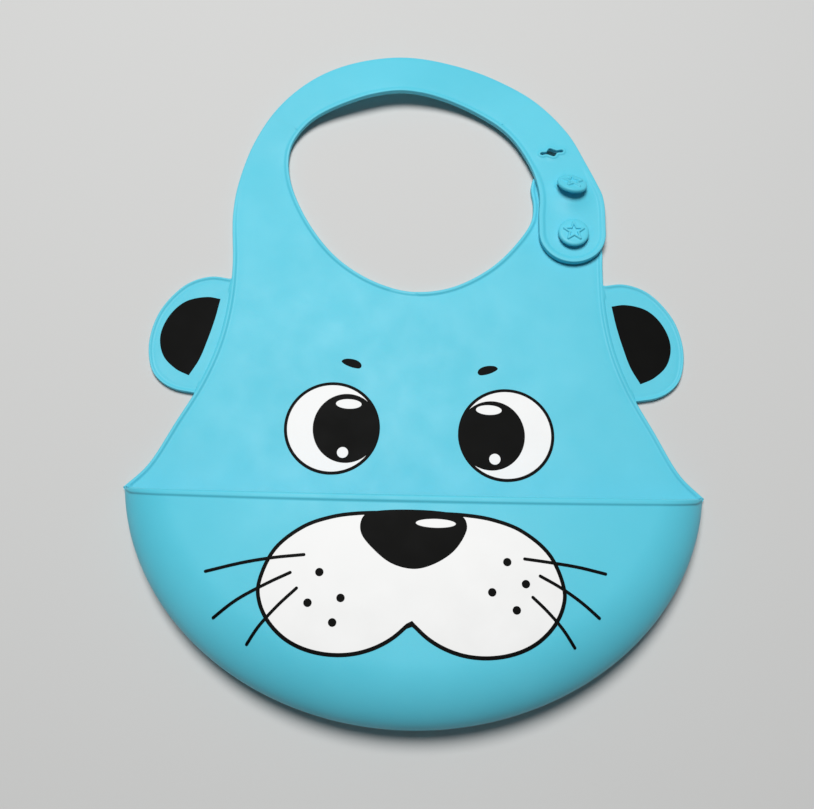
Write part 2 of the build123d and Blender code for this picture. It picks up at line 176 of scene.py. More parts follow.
LEFT_WHISKERS = [
    [(-39.2, -27.2), (-50, -28.4), (-61, -30.3), (-74.7, -33.7)],
    [(-43.8, -33.7), (-52, -37.7), (-62, -43.3), (-70.8, -50.0)],
    [(-41.2, -39.2), (-47.6, -45.4), (-54.0, -52.8), (-58.1, -59.0)],
]
RIGHT_WHISKERS = [
    [(40.5, -27.1), (50, -28.2), (60, -29.6), (69.8, -31.7)],
    [(46.0, -33.1), (53, -36.9), (60, -41.6), (67.0, -47.4)],
    [(43.2, -40.7), (48, -45.2), (53.4, -51.2), (58.0, -57.8)],
]
LEFT_DOTS = [(-33.3, -33.4), (-25.3, -42.4), (-37.0, -44.3), (-27.9, -51.0)]
RIGHT_DOTS = [(34.2, -28.4), (40.8, -36.1), (28.7, -39.3), (37.4, -45.4)]
DOT = 1.5
EYES = {
    "left": dict(centre=(-33.1, 27.0), pupil=(-27.4, 27.0), upper=(-26.7, 37.1), lower=(-28.4, 16.8)),
    "right": dict(centre=(36.9, 25.5), pupil=(31.0, 25.1), upper=(30.0, 35.7), lower=(32.3, 15.3)),
}
PUPIL_SIZE = (13.4, 14.4)
BROW = [(-30.4, 55.5), (-29.5, 56.4), (-27.2, 56.7), (-24.3, 56.1), (-22.6, 54.9), (-22.1, 53.6)]
BROW += [(-22.8, 52.6), (-25.1, 52.7), (-27.6, 53.5), (-29.6, 54.6)]
RIGHT_BROW_SHIFT = (3.4, -1.9)
PRINT_TURN = -1.2


# ---- plane geometry -----------------------------------------------------------------------------
def mirrored(points):
    return [(-x, y) for x, y in points]


def curve(points, step=SAMPLE, closed=False):
    """Even samples on a centripetal Catmull-Rom curve through the points."""
    p = np.array(points, float)
    if closed:
        p = np.vstack([p[-1], p, p[0], p[1]])
    else:
        p = np.vstack([2 * p[0] - p[1], p, 2 * p[-1] - p[-2]])
    dense = []
    for a, b, c, d in zip(p[:-3], p[1:-2], p[2:-1], p[3:]):
        knots = np.cumsum([0.0] + [np.linalg.norm(v - u) ** 0.5 for u, v in ((a, b), (b, c), (c, d))])
        t = np.linspace(knots[1], knots[2], 24, endpoint=False)[:, None]
        ab = (knots[1] - t) / (knots[1] - knots[0]) * a + (t - knots[0]) / (knots[1] - knots[0]) * b
        bc = (knots[2] - t) / (knots[2] - knots[1]) * b + (t - knots[1]) / (knots[2] - knots[1]) * c
        cd = (knots[3] - t) / (knots[3] - knots[2]) * c + (t - knots[2]) / (knots[3] - knots[2]) * d
        abc = (knots[2] - t) / (knots[2] - knots[0]) * ab + (t - knots[0]) / (knots[2] - knots[0]) * bc
        bcd = (knots[3] - t) / (knots[3] - knots[1]) * bc + (t - knots[1]) / (knots[3] - knots[1]) * cd
        span = knots[2] - knots[1]
        dense.append((knots[2] - t) / span * abc + (t - knots[1]) / span * bcd)
    dense.append(p[-2][None])
    return resample(np.vstack(dense), step)


def resample(path, step):
    """Points evenly spaced along a path, its two ends kept."""
    lengths = np.r_[0, np.cumsum(np.linalg.norm(np.diff(path, axis=0), axis=1))]
    count = max(2, int(round(lengths[-1] / step)) + 1)
    where = np.linspace(0, lengths[-1], count)
    return np.column_stack([np.interp(where, lengths, path[:, axis]) for axis in range(path.shape[1])])


def straight(a, b):
    return resample(np.array([a, b], float), SAMPLE)


def circle(centre, radius, count=128):
    turns = np.linspace(0, 2 * math.pi, count, endpoint=False)
    return np.column_stack([centre[0] + radius * np.cos(turns), centre[1] + radius * np.sin(turns)])


def ellipse(centre, half_width, half_height, turn=0.0, count=128):
    p = circle((0, 0), 1.0, count) * (half_width, half_height)
    c, s = math.cos(math.radians(turn)), math.sin(math.radians(turn))
    return p @ np.array([[c, s], [-s, c]]) + np.array(centre)


def area(loop):
    """Signed area of a closed loop, positive if counterclockwise."""
    x, y = loop[:, 0], loop[:, 1]
    return 0.5 * float(np.sum(x * np.roll(y, -1) - np.roll(x, -1) * y))


def inside(points, loop):
    """Which points lie inside a closed loop."""
    x, y = points[:, 0], points[:, 1]
    hit = np.zeros(len(points), bool)
    for (ax, ay), (bx, by) in zip(loop, np.roll(loop, -1, axis=0)):
        if ay == by:
            continue
        crosses = (ay > y) != (by > y)
        hit ^= crosses & (x < (bx - ax) * (y - ay) / (by - ay) + ax)
    return hit


def nearest(points, path, signed=False):
    """Distance of each point from a path, positive on its left if signed."""
    a, b = path[:-1], path[1:]
    run = b - a
    length = np.maximum((run**2).sum(1), 1e-12)
    out = np.empty(len(points))
    for start in range(0, len(points), 2000):
        p = points[start : start + 2000, None, :]
        t = np.clip(((p - a) * run).sum(2) / length, 0, 1)
        away = p - (a + t[..., None] * run)
        reach = (away**2).sum(2)
        best = reach.argmin(1)
        rows = np.arange(len(best))
        value = np.sqrt(reach[rows, best])
        if signed:
            w = away[rows, best]
            value *= np.sign(run[best, 0] * w[:, 1] - run[best, 1] * w[:, 0])
        out[start : start + 2000] = value
    return out


def smooth(x, low, high):
    """Eased step from 0 at low to 1 at high."""
    t = np.clip((x - low) / (high - low), 0, 1)
    return t * t * (3 - 2 * t)


def neck_turn(points):
    """Angle of each point round the neck's middle, in degrees."""
    return np.degrees(np.arctan2(points[:, 1] - NECK[1], points[:, 0] - NECK[0]))


def strap_turn(points):
    """Angle round the neck's middle, running on past 180 degrees below the left shoulder."""
    turn = neck_turn(points)
    return np.where(turn < -100, turn + 360, turn)


def lift(points):
    """How far the closed strap floats off the surface."""
    turn = strap_turn(points)
    strap_side = points[:, 1] > NECK[1]
    rise = smooth(-turn, *LIFT_RISE) * CROWN_LIFT
    fall = smooth(-turn, *LIFT_FALL) * (CLASP_LIFT - CROWN_LIFT)
    return np.where(strap_side | (points[:, 0] > 0), rise + fall, 0.0)


def cross(path, angle):
    """Where a path crosses the radial line at an angle round the neck: index after it and the point."""
    c, s = math.cos(math.radians(angle)), math.sin(math.radians(angle))
    rel = path - np.array(NECK)
    off = rel[:, 1] * c - rel[:, 0] * s
    along = rel[:, 0] * c + rel[:, 1] * s
    for i in range(len(path) - 1):
        if off[i] * off[i + 1] <= 0 and along[i] > 0:
            t = off[i] / (off[i] - off[i + 1])
            return i + 1, path[i] + t * (path[i + 1] - path[i])
    raise ValueError("path doesn't cross the line")


# ---- meshes -------------------------------------------------------------------------------------
def make_object(name, vertices, faces, material, sharp=38.0):
    """Mesh object from plan millimetres, in the frame's metres."""
    vertices = np.array(vertices, float)
    vertices[:, 1] += LIP_Y
    mesh = bpy.data.meshes.new(name)
    mesh.from_pydata((vertices * MM).tolist(), [], faces)
    obj = bpy.data.objects.new(name, mesh)
    bpy.context.scene.collection.objects.link(obj)
    bm = bmesh.new()
    bm.from_mesh(mesh)
    bmesh.ops.remove_doubles(bm, verts=bm.verts, dist=2e-6)
    bmesh.ops.dissolve_degenerate(bm, edges=bm.edges, dist=1e-7)
    bmesh.ops.recalc_face_normals(bm, faces=bm.faces)
    bm.to_mesh(mesh)
    bm.free()
    for polygon in mesh.polygons:
        polygon.use_smooth = True
    mesh.set_sharp_from_angle(angle=math.radians(sharp))
    mesh.materials.append(material)
    return obj


def hex_grid(low, high, step):
    """Staggered rows of points filling a box."""
    rows = []
    y = low[1]
    odd = False
    while y <= high[1]:
        x = np.arange(low[0] + (step / 2 if odd else 0), high[0], step)
        rows.append(np.column_stack([x, np.full(len(x), y)]))
        y += step * math.sqrt(3) / 2
        odd = not odd
    return np.vstack(rows)


def triangulate(loop, holes=(), extra=None):
    """Constrained triangles filling a loop, with extra points inside."""
    points = [loop, *holes]
    edges = []
    start = 0
    for ring in points:
        n = len(ring)
        edges += [(start + i, start + (i + 1) % n) for i in range(n)]
        start += n
    if extra is not None and len(extra):
        points.append(extra)
    flat_points = [Vector(p) for p in np.vstack(points)]
    verts, _, faces, _, _, _ = geometry.delaunay_2d_cdt(flat_points, edges, [], 0, 1e-5)
    verts = np.array([tuple(v) for v in verts])
    faces = np.array([f for f in faces if len(f) == 3])
    middle = verts[faces].mean(1)
    keep = inside(middle, loop)
    for hole in holes:
        keep &= ~inside(middle, hole)
    return verts, faces[keep]


def ring_normals(loop):
    """Unit vectors at right angles to a closed counterclockwise loop, pointing inwards."""
    tangent = np.roll(loop, -1, axis=0) - np.roll(loop, 1, axis=0)
    tangent /= np.maximum(np.linalg.norm(tangent, axis=1), 1e-9)[:, None]
    return np.column_stack([-tangent[:, 1], tangent[:, 0]])


def sheet_piece(name, stretches, bottom, top, material, holes=(), grid=4.5, ribs=()):
    """Silicone sheet with rounded edges.

    stretches are (points, kind) round the outline, counterclockwise; kind is edge or seam, and a
    seam is a plain cut where the sheet carries on in another piece. bottom and top give heights at
    points. ribs are (path, offsets) along which the top needs extra points for its beads.
    """
    loop, is_edge, inward = [], [], []
    for k, (points, kind) in enumerate(stretches):
        body = points[:-1]
        tangent = np.gradient(points, axis=0)[:-1]
        tangent /= np.linalg.norm(tangent, axis=1)[:, None]
        normal = np.column_stack([-tangent[:, 1], tangent[:, 0]])
        edge = np.full(len(body), kind == "edge")
        before, before_kind = stretches[k - 1]
        if kind == "edge" and before_kind == "seam":
            back = before[-2] - before[-1]
            normal[0] = back / np.linalg.norm(back)
        if kind == "seam" and before_kind == "edge":
            ahead = points[1] - points[0]
            normal[0] = ahead / np.linalg.norm(ahead)
            edge[0] = True
        loop.append(body)
        is_edge.append(edge)
        inward.append(normal)
    loop = np.vstack(loop)
    is_edge = np.concatenate(is_edge)
    inward = np.vstack(inward) * is_edge[:, None]

    vertices, faces = [], []
    rings = []
    bounds = [loop, *holes]
    normals = [inward] + [-ring_normals(h) for h in holes]
    for ring, normal in zip(bounds, normals):
        start = len(vertices)
        n = len(ring)
        inner = ring + normal * EDGE_ROUND
        z_top = top(inner)
        z_low = bottom(inner)
        moved = []
        for reach, from_top, drop in EDGE_PROFILE:
            place = ring + normal * (EDGE_ROUND * reach)
            z = z_top - drop if from_top else z_low + drop
            moved.append(np.column_stack([place, z]))
        for column in moved:
            vertices.extend(column.tolist())
        for c in range(len(EDGE_PROFILE) - 1):
            for i in range(n):
                j = (i + 1) % n
                a = start + c * n
                b = a + n
                faces.append((a + i, a + j, b + j, b + i))
        rings.append((moved[0][:, :2], moved[-1][:, :2]))

    low_corner, high_corner = loop.min(0), loop.max(0)
    grid_points = hex_grid(low_corner, high_corner, grid)
    closed = [np.vstack([b, b[:1]]) for b in bounds]
    clear = inside(grid_points, loop)
    for hole in holes:
        clear &= ~inside(grid_points, hole)
    grid_points = grid_points[clear]
    away = np.min([nearest(grid_points, c) for c in closed], axis=0)
    extra = []
    for path, offsets in ribs:
        tangent = np.gradient(path, axis=0)
        tangent /= np.linalg.norm(tangent, axis=1)[:, None]
        left = np.column_stack([-tangent[:, 1], tangent[:, 0]])
        for offset in offsets:
            line = path + left * offset
            ok = inside(line, loop)
            for hole in holes:
                ok &= ~inside(line, hole)
            line = line[ok]
            if len(line):
                near_edge = np.min([nearest(line, c) for c in closed], axis=0)
                near_path = nearest(line, path)
                line = line[(near_edge > EDGE_ROUND + 0.15) & (near_path > abs(offset) - 0.08)]
            if len(line):
                extra.append(line)
        away = np.minimum(away, nearest(grid_points, path) - max(map(abs, offsets)) * 0.8)
    grid_points = grid_points[away > EDGE_CLEARANCE]
    top_points = np.vstack([grid_points, *extra]) if extra else grid_points
    for index, cap_points in ((0, grid_points), (1, top_points)):
        verts, tris = triangulate(rings[0][index], [ring[index] for ring in rings[1:]], cap_points)
        z = top(verts) if index else bottom(verts)
        start = len(vertices)
        vertices.extend(np.column_stack([verts, z]).tolist())
        faces.extend([tuple(int(v) + start for v in t) for t in tris])
    return make_object(name, vertices, faces, material)


def bead(distance, width=BEAD_WIDTH, height=BEAD_HEIGHT):
    """Cross-section of a bead whose outside lies on the edge, with a faint groove inside it."""
    ridge = height * smooth(-distance, -width - 0.45, -width + 0.55)
    outside = smooth(distance, -0.45, 0.25)
    groove = -GROOVE * np.exp(-(((distance - width - 0.9) / 0.5) ** 2))
    return ridge * outside + groove


BEAD_RIBS = [0.75, 1.0, 1.25, 1.5, 1.75, 2.0, 2.3, 2.7, 3.2]


def print_piece(name, loops, surface, layer, material, holes=(), grid=None):
    """Thin silk-screened print with a soft edge, lying on a surface."""
    vertices, faces = [], []
    height = INK * (layer + 1)
    bevel, bevel_drop = INK_BEVEL
    for loop in loops:
        if area(loop) < 0:
            loop = loop[::-1]
        inner_holes = [h if area(h) > 0 else h[::-1] for h in holes]
        rings = []
        for ring, sign in [(loop, 1.0)] + [(h, -1.0) for h in inner_holes]:
            normal = ring_normals(ring) * sign
            start = len(vertices)
            n = len(ring)
            z = surface(ring)
            for reach, rise in ((0.0, -INK_SINK), (0.0, height - bevel_drop), (bevel, height)):
                place = ring + normal * reach
                vertices.extend(np.column_stack([place, z + rise]).tolist())
            for c in range(2):
                for i in range(n):
                    j = (i + 1) % n
                    a = start + c * n
                    faces.append((a + i, a + j, a + n + j, a + n + i))
            rings.append(ring + normal * bevel)
        extra = None
        if grid:
            points = hex_grid(loop.min(0), loop.max(0), grid)
            clear = inside(points, loop)
            for hole in inner_holes:
                clear &= ~inside(points, hole)
            points = points[clear]
            if len(points):
                away = nearest(points, np.vstack([loop, loop[:1]]))
                for hole in inner_holes:
                    away = np.minimum(away, nearest(points, np.vstack([hole, hole[:1]])))
                extra = points[away > grid * 0.35]
        verts, tris = triangulate(rings[0], rings[1:], extra)
        start = len(vertices)
        vertices.extend(np.column_stack([verts, surface(verts) + height]).tolist())
        faces.extend([tuple(int(v) + start for v in t) for t in tris])
    return make_object(name, vertices, faces, material, sharp=25)


# ---- materials ----------------------------------------------------------------------------------
def node(tree, kind, **inputs):
    """New node with some of its inputs set."""
    made = tree.nodes.new(kind)
    for key, value in inputs.items():
        made.inputs[key.replace("_", " ")].default_value = value
    return made


def start_material(name, roughness, **inputs):
    material = bpy.data.materials.new(name)
    material.use_nodes = True
    tree = material.node_tree
    shader = tree.nodes["Principled BSDF"]
    shader.inputs["Roughness"].default_value = roughness
    for key, value in inputs.items():
        shader.inputs[key.replace("_", " ")].default_value = value
    coords = node(tree, "ShaderNodeTexCoord")
    return material, tree, shader, coords


def noise_node(tree, coords, scale, detail=3.0, roughness=0.5):
    made = node(tree, "ShaderNodeTexNoise", Scale=scale, Detail=detail, Roughness=roughness)
    tree.links.new(coords.outputs["Object"], made.inputs["Vector"])
    return made


def ramp(tree, source, low, high, colours):
    made = tree.nodes.new("ShaderNodeValToRGB")
    made.color_ramp.elements[0].position = low
    made.color_ramp.elements[1].position = high
    made.color_ramp.elements[0].color = (*colours[0], 1)
    made.color_ramp.elements[1].color = (*colours[1], 1)
    tree.links.new(source, made.inputs["Fac"])
    return made


def value_ramp(tree, source, low, high, out_low, out_high):
    made = node(tree, "ShaderNodeMapRange", From_Min=low, From_Max=high, To_Min=out_low, To_Max=out_high)
    tree.links.new(source, made.inputs["Value"])
    return made


def add_bump(tree, shader, layers):
    """Chain of bumps: (height socket, strength, distance in metres)."""
    normal = None
    for source, strength, distance in layers:
        bump = node(tree, "ShaderNodeBump", Strength=strength, Distance=distance)
        tree.links.new(source, bump.inputs["Height"])
        if normal is not None:
            tree.links.new(normal, bump.inputs["Normal"])
        normal = bump.outputs["Normal"]
    tree.links.new(normal, shader.inputs["Normal"])


def silicone():
    """Matt moulded silicone: even blue with soft mottling, fine moulded grain and a dull sheen."""
    material, tree, shader, coords = start_material(
        "blue_silicone", 0.46, Subsurface_Weight=0.06, Subsurface_Scale=0.003, Specular_IOR_Level=0.2
    )
    shader.inputs["Subsurface Radius"].default_value = (0.2, 0.8, 1.0)
    mottle = noise_node(tree, coords, 28, 4)
    blues = ((0.104, 0.590, 0.745), (0.122, 0.625, 0.785))
    colour = ramp(tree, mottle.outputs["Fac"], 0.3, 0.75, blues)
    tree.links.new(colour.outputs["Color"], shader.inputs["Base Color"])
    haze = noise_node(tree, coords, 75, 5)
    roughness = value_ramp(tree, haze.outputs["Fac"], 0.3, 0.7, 0.40, 0.52)
    tree.links.new(roughness.outputs["Result"], shader.inputs["Roughness"])
    grain = noise_node(tree, coords, 2600, 2)
    ripple = noise_node(tree, coords, 45, 2)
    layers = [(ripple.outputs["Fac"], 0.07, 0.0006), (grain.outputs["Fac"], 0.10, 0.00004)]
    add_bump(tree, shader, layers)
    return material


def ink(name, low, high, roughness, sheen):
    """Silk-screened silicone ink: dense colour with a faint mesh grain and a slightly uneven lay."""
    material, tree, shader, coords = start_material(name, roughness, Specular_IOR_Level=sheen)
    cloud = noise_node(tree, coords, 90, 4)
    colour = ramp(tree, cloud.outputs["Fac"], 0.3, 0.7, (low, high))
    tree.links.new(colour.outputs["Color"], shader.inputs["Base Color"])
    dull = value_ramp(tree, cloud.outputs["Fac"], 0.3, 0.7, roughness - 0.05, roughness + 0.06)
    tree.links.new(dull.outputs["Result"], shader.inputs["Roughness"])
    mesh_grain = noise_node(tree, coords, 1800, 2)
    add_bump(tree, shader, [(mesh_grain.outputs["Fac"], 0.12, 0.00003)])
    return material


BLUE = silicone()
BLACK = ink("black_ink", (0.003, 0.003, 0.0027), (0.005, 0.005, 0.0045), 0.5, 0.03)
WHITE = ink("white_ink", (0.90, 0.90, 0.89), (0.94, 0.94, 0.93), 0.5, 0.2)


# ---- the body's edge curves ---------------------------------------------------------------------
right_edge = curve([*side, *tab_edge, *neck_low, *neck_left, *strap_inner])
left_edge = curve([*mirrored(side), *left_shoulder, *strap_outer])
bottom_index = int(np.argmin(np.linalg.norm(right_edge - ear_bottom, axis=1)))
top_index = int(np.argmin(np.linalg.norm(right_edge - ear_top, axis=1)))
left_bottom = int(np.argmin(np.linalg.norm(left_edge - np.array(mirrored([ear_bottom])[0]), axis=1)))
left_top = int(np.argmin(np.linalg.norm(left_edge - np.array(mirrored([ear_top])[0]), axis=1)))
root_in_index, root_in = cross(right_edge, ROOT_ANGLE)
root_out_index, root_out = cross(left_edge, ROOT_ANGLE)
RIGHT_ROOT = (right_edge[top_index], right_edge[bottom_index])
LEFT_ROOT = (left_edge[left_top], left_edge[left_bottom])
neck_path = right_edge[: root_in_index + 12]
shoulder_path = left_edge[: root_out_index + 12][::-1]
TIPS = (left_edge[0] * (1, 0) + (0, FOLD), right_edge[0] * (1, 0) + (0, FOLD))


def flat(points):
    return np.zeros(len(points))


def sheet_top(points):
    return np.full(len(points), SHEET)


def neck_fade(points):
    """How much of the neck's bead is left, easing off past the left shoulder."""
    return 1 - 0.35 * smooth(-strap_turn(points), -190, -150) * (points[:, 0] < 0)


def chest_top(points):
    """Top of the chest: the sheet, its edge beads and the start of the strap."""
    neck = bead(nearest(points, neck_path, signed=True)) * neck_fade(points)
    shoulder = bead(nearest(points, shoulder_path, signed=True)) * (1 - smooth(points[:, 1], 95, 150))
    return SHEET + neck + shoulder + lift_left(points)


def lift_left(points):
    """The strap's rise, on the left shoulder only."""
    return np.where(points[:, 0] < -20, lift(points), 0.0)


def make_chest():
    stretches = [
        (np.vstack([TIPS[1], right_edge[1 : bottom_index + 1]]), "edge"),
        (straight(right_edge[bottom_index], right_edge[top_index]), "seam"),
        (np.vstack([right_edge[top_index:root_in_index], root_in]), "edge"),
        (straight(root_in, root_out), "seam"),
        (np.vstack([root_out, left_edge[:root_out_index][::-1][: root_out_index - left_top]]), "edge"),
        (straight(left_edge[left_top], left_edge[left_bottom]), "seam"),
        (np.vstack([left_edge[1 : left_bottom + 1][::-1], TIPS[0]]), "edge"),
        (straight(TIPS[0], TIPS[1]), "seam"),
    ]
    ribs = [(neck_path, [*BEAD_RIBS, -0.4, 0.1]), (shoulder_path, [*BEAD_RIBS, -0.4, 0.1])]
    return sheet_piece("chest_sheet", stretches, lift_left, chest_top, BLUE, ribs=ribs, grid=2.4)


def make_ear(side_name):
    """Ear flap, outlined counterclockwise from one end of its root to the other."""
    flip = -1 if side_name == "left" else 1
    rim = curve(ear_edge)[::-1]
    if flip < 0:
        rim = rim[::-1] * (-1, 1)
        rim[0], rim[-1] = LEFT_ROOT[0], LEFT_ROOT[1]
    else:
        rim[0], rim[-1] = RIGHT_ROOT[1], RIGHT_ROOT[0]

    def ear_surface(points):
        return SHEET + bead(nearest(points, rim, signed=True), width=1.1, height=0.4)

    stretches = [(rim, "edge"), (straight(rim[-1], rim[0]), "seam")]
    ribs = [(rim, BEAD_RIBS)]
    return sheet_piece(f"{side_name}_ear", stretches, flat, ear_surface, BLUE, ribs=ribs, grid=1.3)


end_turns = np.linspace(0, -math.pi, 46)
round_end = np.column_stack([np.cos(end_turns), np.sin(end_turns)]) * STRAP_END_RADII + STRAP_END
outer_run = np.vstack([root_out, left_edge[root_out_index:]])
inner_run = np.vstack([root_in, right_edge[root_in_index:]])
strap_path = resample(np.vstack([outer_run, round_end, inner_run[::-1]]), SAMPLE)
neck_rim = np.vstack([right_edge[root_in_index - 12 : root_in_index], inner_run])


def strap_bottom(points):
    return lift(points)


def strap_top(points):
    """Top of the strap: a bead along the neck, and a broad rim round its buttoned end."""
    along_neck = bead(nearest(points, neck_rim, signed=True)) * neck_fade(points)
    near_end = smooth(-points[:, 1], -150, -136) * (points[:, 0] > 20)
    rim = STRAP_RIM * smooth(-nearest(points, strap_path), -3.0, -1.5)
    thin = SHEET + (STRAP - SHEET) * smooth(-neck_turn(points), -140, -100)
    return lift(points) + thin + along_neck * (1 - near_end) + rim * near_end


def make_strap_arch():
    out_end, out_clasp = cross(outer_run, CLASP_ANGLE)
    in_end, in_clasp = cross(inner_run, CLASP_ANGLE)
    stretches = [
        (np.vstack([out_clasp, outer_run[:out_end][::-1]]), "edge"),
        (straight(root_out, root_in), "seam"),
        (np.vstack([inner_run[:in_end], in_clasp]), "edge"),
        (straight(in_clasp, out_clasp), "seam"),
    ]
    ribs = [(neck_rim, BEAD_RIBS)]
    return sheet_piece("strap_crown", stretches, strap_bottom, strap_top, BLUE, ribs=ribs, grid=3.5)


def slot_loop(centre, wing, half_width, diagonal):
    """Counterclockwise outline of a buttonhole: a diamond between two offset wings."""
    p = [(diagonal, half_width), (wing, half_width), (wing + half_width, 0), (wing, -half_width)]
    p += [(diagonal, -half_width), (diagonal * 0.3, -diagonal * 0.85)]
    p += [(-x, -y) for x, y in p]
    c, s = math.cos(math.radians(SLOT_TURN)), math.sin(math.radians(SLOT_TURN))
    loop = curve(p[::-1], step=0.35, closed=True)[:-1]
    return loop @ np.array([[c, s], [-s, c]]) + np.array(centre)


SLOTS = [
    slot_loop(OPEN_SLOT, 4.6, 0.52, 2.3),
    slot_loop(UPPER_SLOT, 5.2, 0.5, 2.9),
    slot_loop(LOWER_STUD, 4.6, 0.45, 2.9),
]


def hump(points):
    """Where the upper stud's leaning head holds the strap up."""
    away = np.linalg.norm(points - STRAP_HUMP, axis=1)
    return HUMP_RISE * np.exp(-((away / HUMP_SPREAD) ** 2))


def strap_end_bottom(points):
    return strap_bottom(points) + hump(points)


def strap_end_top(points):
    """Top of the buttoned end, with a raised rim round each slot."""
    z = strap_top(points) + hump(points)
    for slot_ring in SLOTS:
        distance = nearest(points, np.vstack([slot_ring, slot_ring[:1]]))
        z = z + SLOT_RIM * smooth(-distance, -1.55, -0.75)
    return z


def make_strap_end():
    out_end, out_clasp = cross(outer_run, CLASP_ANGLE)
    in_end, in_clasp = cross(inner_run, CLASP_ANGLE)
    run = np.vstack([out_clasp, outer_run[out_end:], round_end, inner_run[in_end:][::-1], in_clasp])
    run = resample(run, SAMPLE)[::-1]
    stretches = [(run, "edge"), (straight(out_clasp, in_clasp), "seam")]
    ribs = [(run, [0.8, 1.2, 1.6, 1.9, 2.2, 2.5, 2.8, 3.2])]
    for slot_ring in SLOTS:
        closed = np.vstack([slot_ring, slot_ring[:1]])
        ribs.append((closed, [-0.75, -1.0, -1.3, -1.7]))
    heights = (strap_end_bottom, strap_end_top)
    return sheet_piece("strap_button_end", stretches, *heights, BLUE, holes=SLOTS, ribs=ribs, grid=2.2)


# ---- studs --------------------------------------------------------------------------------------
def star_distance(points):
    """Distance of each point from the outline of a five-pointed star."""
    corners = []
    for step in range(10):
        reach = STAR_RADIUS if step % 2 == 0 else STAR_RADIUS * STAR_RATIO
        turn = math.pi / 2 + step * math.pi / 5
        corners.append((reach * math.cos(turn), reach * math.sin(turn)))
    path = np.array(corners + corners[:1])
    return nearest(points, path)


def make_stud(name, centre, head_z, tilt, axis_turn, lean=0.0):
    """Mushroom stud: stem through the slot, and a rounded head with a raised star outline.

    The head tilts by tilt degrees about a level axis that is turned axis_turn from +X, and stands
    lean millimetres below the stem's foot."""
    vertices, faces = [], []
    around = 144
    turns = np.linspace(0, 2 * math.pi, around, endpoint=False)
    axis = (math.cos(math.radians(axis_turn)), math.sin(math.radians(axis_turn)), 0)
    spin = np.array(Matrix.Rotation(math.radians(tilt), 3, axis))
    seat = np.array([centre[0], centre[1] - lean, head_z])
    face_radius = HEAD_PROFILE[-1][0]
    for radius, z in HEAD_PROFILE:
        ring = np.column_stack([radius * np.cos(turns), radius * np.sin(turns), np.full(around, z)])
        vertices.extend((ring @ spin.T + seat).tolist())
    for radius in np.arange(4.9, 0.1, -0.12):
        plan = np.column_stack([radius * np.cos(turns), radius * np.sin(turns)])
        dome = 0.10 * (1 - (radius / face_radius) ** 2)
        z = HEAD + dome + STAR_RISE * smooth(-star_distance(plan), -0.62, -0.25)
        ring = np.column_stack([plan, z])
        vertices.extend((ring @ spin.T + seat).tolist())
    rings = len(vertices) // around
    for c in range(rings - 1):
        for i in range(around):
            j = (i + 1) % around
            faces.append((c * around + i, c * around + j, (c + 1) * around + j, (c + 1) * around + i))
    faces.append(tuple(range((rings - 1) * around, rings * around)))
    stem = len(vertices)
    for z in (SHEET - 0.2, head_z - 1.0):
        ring = np.column_stack([circle(centre, STEM_RADIUS, around), np.full(around, z)])
        vertices.extend(ring.tolist())
    for i in range(around):
        j = (i + 1) % around
        faces.append((stem + i, stem + j, stem + around + j, stem + around + i))
        faces.append((stem + around + i, stem + around + j, j, i))
    faces.append(tuple(range(stem, stem + around)))
    return make_object(name, vertices, faces, BLUE, sharp=60)


# ---- pocket -------------------------------------------------------------------------------------
def rim_height(y):
    """Height of the widest line round the pocket's side, which rises towards the bottom."""
    down = np.clip((LIP_AT_SHEET - y) / (BELOW_LIP + LIP_AT_SHEET), 0, 1)
    return RIM_AT_LIP + (RIM_AT_BOTTOM - RIM_AT_LIP) * down


def pocket_top(points):
    """Height of the pocket's outer skin above the plan."""
    x, y = points[:, 0], points[:, 1]
    rho = np.sqrt((x / POCKET_HALF_WIDTH) ** 2 + ((y - POCKET_CENTRE) / POCKET_LENGTH) ** 2)
    aside = np.clip(np.abs(x) / POCKET_HALF_WIDTH, 0, 1)
    inset = np.clip((1 - rho) * POCKET_REACH / (POCKET_ROUND - SIDE_TIGHTER * aside**2), 0, 1)
    belly = BELLY * np.sin(np.clip(-y / BELOW_LIP, 0, 1) * math.pi)
    crown = POCKET_TOP - SIDE_LOWER * aside**2.4 + belly
    rim = rim_height(y)
    return rim + (crown - rim) * np.sqrt(1 - (1 - inset) ** 2)


def lip_point(x):
    """Point of the lip at x, where the skin meets the leaning mouth."""
    y = np.full(len(x), LIP_AT_SHEET)
    for _ in range(60):
        z = pocket_top(np.column_stack([x, y]))
        y = 0.5 * y + 0.5 * (LIP_AT_SHEET - MOUTH_SLOPE * (z - SHEET))
    return np.column_stack([x, y])


TIP_TURN = math.acos((POCKET_CENTRE - LIP_AT_SHEET) / POCKET_LENGTH)
across = np.linspace(-1, 1, 241)
rim_turns = across * TIP_TURN
rim_line = np.column_stack(
    [POCKET_HALF_WIDTH * np.sin(rim_turns), POCKET_CENTRE - POCKET_LENGTH * np.cos(rim_turns)]
)
rim_out = np.column_stack([np.sin(rim_turns) / POCKET_HALF_WIDTH, -np.cos(rim_turns) / POCKET_LENGTH])
rim_out /= np.linalg.norm(rim_out, axis=1)[:, None]
keel_line = rim_line - rim_out * (rim_height(rim_line[:, 1]) * KEEL_TUCK)[:, None]


